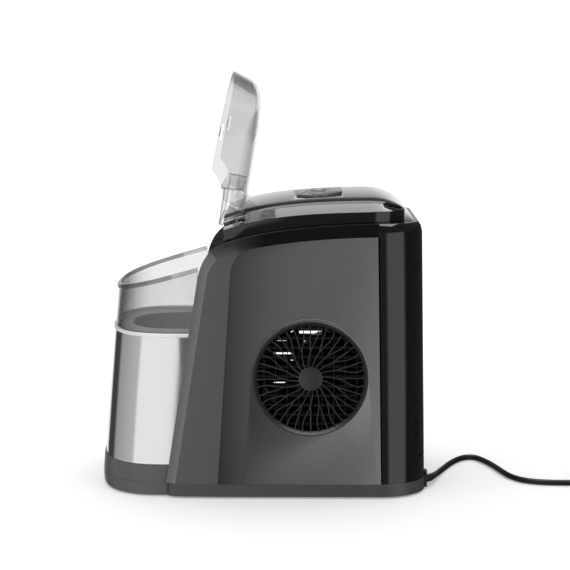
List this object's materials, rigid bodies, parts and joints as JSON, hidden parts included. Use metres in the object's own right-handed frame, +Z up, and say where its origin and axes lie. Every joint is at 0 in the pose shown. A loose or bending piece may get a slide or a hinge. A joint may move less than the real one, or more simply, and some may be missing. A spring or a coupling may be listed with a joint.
{
  "type": "countertop ice maker",
  "caption": "Countertop ice maker with a see-through front bin, a lift-out basket, a tinted lid hinged on the top cover, push buttons and a round fan outlet in one side.",
  "frame": {"origin": "centre of the housing's footprint, at the height the feet stand on", "axes": "+Z up, -Y to the front where the ice bin is, +X to the side with the round fan outlet"},
  "size_m": [0.2427, 0.6756, 0.4571],
  "materials": {
    "dark_base": "satin dark grey moulding",
    "steel": "polished stainless steel",
    "bright_trim": "bright silver trim",
    "smoke_clear": "clear grey-tinted acrylic",
    "tub_plastic": "dark grey moulding",
    "foam": "rigid insulating foam",
    "side_paint": "dark metallic grey",
    "gloss_black": "gloss black",
    "black_plastic": "black moulding",
    "pod_grey": "mid grey panel",
    "lens": "clear lamp lens",
    "board": "circuit board",
    "copper_tube": "copper tube",
    "condenser_metal": "bare tube",
    "nickel": "nickel-plated",
    "white_plastic": "off-white moulding",
    "motor_metal": "motor housing",
    "compressor_black": "black painted shell",
    "zinc_steel": "zinc-plated steel",
    "black_rubber": "black rubber",
    "hose": "silicone hose",
    "plug_metal": "plated brass"
  },
  "bodies": {
    "housing": {"base_pan": "dark_base", "front_plinth": "dark_base", "front_band": "dark_base", "steel_wrap": "steel", "trim_ring": "bright_trim", "bin_window": "smoke_clear", "bin_tub": "tub_plastic", "tub_insulation": "foam", "right_frame": "side_paint", "left_frame": "side_paint", "right_side_panel": "side_paint", "left_side_panel": "side_paint", "rear_cover": "gloss_black", "rear_grille": "black_plastic", "deck_plate": "gloss_black", "top_cover": "gloss_black", "top_plate": "gloss_black", "control_pod": "pod_grey", "indicator_lenses": "lens", "control_board": "board", "fan_grille": "black_plastic", "condenser_tubes": "condenser_metal", "condenser_bends": "condenser_metal", "condenser_fins": "condenser_metal", "fan_shroud": "black_plastic", "fan_motor": "motor_metal", "compressor": "compressor_black", "compressor_grommets": "black_rubber", "compressor_bolts": "zinc_steel", "filter_drier": "copper_tube", "discharge_pipe": "copper_tube", "suction_pipe": "copper_tube", "hot_gas_valve": "copper_tube", "evaporator": "nickel", "freezing_fingers": "nickel", "tray_motor": "white_plastic", "ice_chamber": "white_plastic", "water_pump": "black_plastic", "water_hose": "hose", "drain_spout": "black_plastic", "ice_full_sensors": "black_plastic", "rubber_feet": "black_rubber", "base_screws": "zinc_steel", "rear_screws": "zinc_steel", "cord_gland": "black_rubber", "power_cord": "black_rubber", "cord_coil": "black_rubber", "plug_body": "black_rubber", "plug_pins": "plug_metal"},
    "lid": {"lid_shell": "smoke_clear", "lid_baffle": "smoke_clear", "lid_arms": "smoke_clear"},
    "basket": {"ice_basket": "tub_plastic"},
    "power_key": {"power_button": "pod_grey"},
    "select_key": {"select_button": "pod_grey"},
    "fan": {"fan_blades": "black_plastic"},
    "tray": {"water_tray": "white_plastic"},
    "shovel": {"ice_shovel": "white_plastic"},
    "drain_stopper": {"drain_plug": "white_plastic"}
  },
  "joints": [
    {"name": "lid_hinge", "type": "hinge", "parent": "housing", "child": "lid", "pos_m": [0, -0.0265, 0.2992], "axis": [-1, 0, 0], "range_deg": [-117, 0]},
    {"name": "basket_lift", "type": "slide", "parent": "housing", "child": "basket", "axis": [0, 0, 1], "range_m": [0, 0.17]},
    {"name": "power_press", "type": "slide", "parent": "housing", "child": "power_key", "axis": [0, 0.0767, -0.9971], "range_m": [0, 0.0012], "stiffness_N_per_m": 900, "springref_m": -0.0008},
    {"name": "select_press", "type": "slide", "parent": "housing", "child": "select_key", "axis": [0, 0.0767, -0.9971], "range_m": [0, 0.0012], "stiffness_N_per_m": 900, "springref_m": -0.0008},
    {"name": "fan_spin", "type": "hinge", "parent": "housing", "child": "fan", "pos_m": [0.078, 0.0534, 0.1314], "axis": [1, 0, 0], "continuous": true},
    {"name": "tray_tilt", "type": "hinge", "parent": "housing", "child": "tray", "pos_m": [0, 0.01, 0.2515], "axis": [1, 0, 0], "range_deg": [0, 75]},
    {"name": "shovel_sweep", "type": "hinge", "parent": "housing", "child": "shovel", "pos_m": [0, 0.01, 0.2515], "axis": [1, 0, 0], "range_deg": [-110, 0]},
    {"name": "drain_pull", "type": "slide", "parent": "housing", "child": "drain_stopper", "axis": [-1, 0, 0], "range_m": [0, 0.03]}
  ]
}
